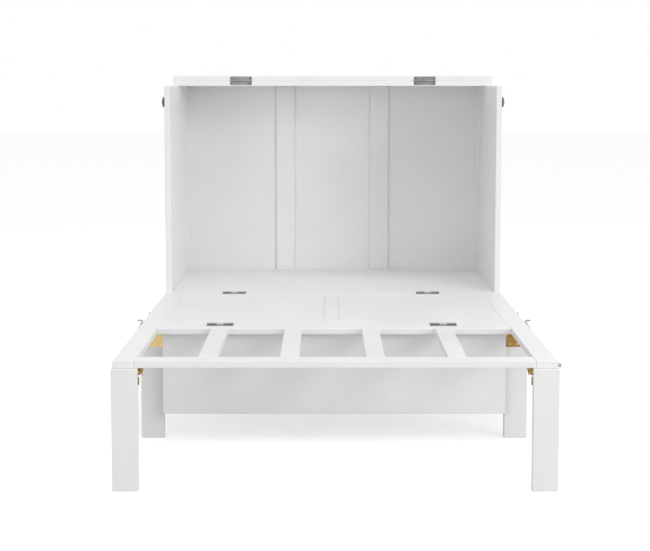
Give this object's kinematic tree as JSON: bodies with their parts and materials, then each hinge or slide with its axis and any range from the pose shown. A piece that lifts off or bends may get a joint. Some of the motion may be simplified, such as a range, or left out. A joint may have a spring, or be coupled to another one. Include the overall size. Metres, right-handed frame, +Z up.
{
  "type": "cabinet bed",
  "caption": "White chest that opens into a bed: the front panel hinges down, a slat frame on folding legs unfolds from it, and half of the top folds back.",
  "frame": {"origin": "on the floor under the middle of the box around the open bed", "axes": "+X to the right as seen from the foot of the bed, +Y from the foot of the bed to the back of the cabinet, +Z up"},
  "size_m": [1.1392, 1.9464, 1.047],
  "materials": {
    "white_paint": "satin white paint",
    "back_sheet": "white coated board",
    "plain_wood": "planed, unpainted",
    "hinge_steel": "satin nickel",
    "grey_steel": "zinc plated",
    "yellow_zinc": "yellow zinc plated",
    "dark_bronze": "satin dark bronze",
    "glide_plastic": "matte"
  },
  "bodies": {
    "cabinet": {"left_side_frame": "white_paint", "right_side_frame": "white_paint", "left_side_infill": "white_paint", "right_side_infill": "white_paint", "back_board": "back_sheet", "back_batten_left": "white_paint", "back_batten_right": "white_paint", "floor_board": "white_paint", "base_front_panel": "white_paint", "fixed_top": "white_paint", "floor_bearers": "plain_wood", "centre_post": "plain_wood", "cabinet_glides": "glide_plastic", "left_knob": "dark_bronze", "right_knob": "dark_bronze", "front_hinge_fixed_leaves": "hinge_steel", "top_hinge_fixed_leaves": "hinge_steel"},
    "top_flap": {"flap_board": "white_paint", "top_hinge_flap_leaves": "hinge_steel"},
    "front_panel": {"panel_stile_left": "white_paint", "panel_stile_right": "white_paint", "panel_back_rail": "white_paint", "panel_front_rail": "white_paint", "panel_centre_stile": "white_paint", "panel_infill_left": "white_paint", "panel_infill_right": "white_paint", "front_hinge_panel_leaves": "hinge_steel", "foot_hinge_panel_leaves": "hinge_steel", "hook_pivot_screws": "grey_steel", "edge_pegs": "grey_steel"},
    "slat_frame": {"slat_side_rail_left": "white_paint", "slat_side_rail_right": "white_paint", "foot_rail": "white_paint", "slat_back_rail": "white_paint", "slat_1": "white_paint", "slat_2": "white_paint", "slat_3": "white_paint", "slat_4": "white_paint", "cross_panel": "white_paint", "foot_hinge_slat_leaves": "hinge_steel", "foot_left_bracket": "yellow_zinc", "foot_right_bracket": "yellow_zinc", "middle_left_bracket": "yellow_zinc", "middle_right_bracket": "yellow_zinc", "leg_pivot_rivets": "yellow_zinc", "corner_stud": "grey_steel"},
    "foot_left_leg": {"foot_left_leg": "white_paint", "foot_left_leg_plate": "yellow_zinc"},
    "foot_right_leg": {"foot_right_leg": "white_paint", "foot_right_leg_plate": "yellow_zinc"},
    "middle_left_leg": {"middle_left_leg": "white_paint", "middle_left_leg_plate": "yellow_zinc"},
    "middle_right_leg": {"middle_right_leg": "white_paint", "middle_right_leg_plate": "yellow_zinc"},
    "left_hook": {"left_hook": "grey_steel"},
    "right_hook": {"right_hook": "grey_steel"}
  },
  "joints": [
    {"name": "top_flap_hinge", "type": "hinge", "parent": "cabinet", "child": "top_flap", "pos_m": [0, 0.6245, 1.029], "axis": [1, 0, 0], "range_deg": [0, 180]},
    {"name": "front_panel_hinge", "type": "hinge", "parent": "cabinet", "child": "front_panel", "pos_m": [0, 0.29575, 0.32975], "axis": [-1, 0, 0], "range_deg": [0, 90]},
    {"name": "slat_frame_hinge", "type": "hinge", "parent": "front_panel", "child": "slat_frame", "pos_m": [0, -0.37625, 0.32975], "axis": [-1, 0, 0], "range_deg": [0, 180]},
    {"name": "foot_left_leg_fold", "type": "hinge", "parent": "slat_frame", "child": "foot_left_leg", "pos_m": [-0.493, -0.95225, 0.299], "axis": [0, -1, 0], "range_deg": [0, 90]},
    {"name": "foot_right_leg_fold", "type": "hinge", "parent": "slat_frame", "child": "foot_right_leg", "pos_m": [0.493, -0.95225, 0.299], "axis": [0, 1, 0], "range_deg": [0, 90]},
    {"name": "middle_left_leg_fold", "type": "hinge", "parent": "slat_frame", "child": "middle_left_leg", "pos_m": [-0.49, -0.38925, 0.299], "axis": [0, -1, 0], "range_deg": [0, 90]},
    {"name": "middle_right_leg_fold", "type": "hinge", "parent": "slat_frame", "child": "middle_right_leg", "pos_m": [0.49, -0.38925, 0.299], "axis": [0, 1, 0], "range_deg": [0, 90]},
    {"name": "left_hook_turn", "type": "hinge", "parent": "front_panel", "child": "left_hook", "pos_m": [-0.5571, -0.33225, 0.32], "axis": [-1, 0, 0], "range_deg": [0, 90]},
    {"name": "right_hook_turn", "type": "hinge", "parent": "front_panel", "child": "right_hook", "pos_m": [0.5571, -0.33225, 0.32], "axis": [-1, 0, 0], "range_deg": [0, 90]}
  ]
}
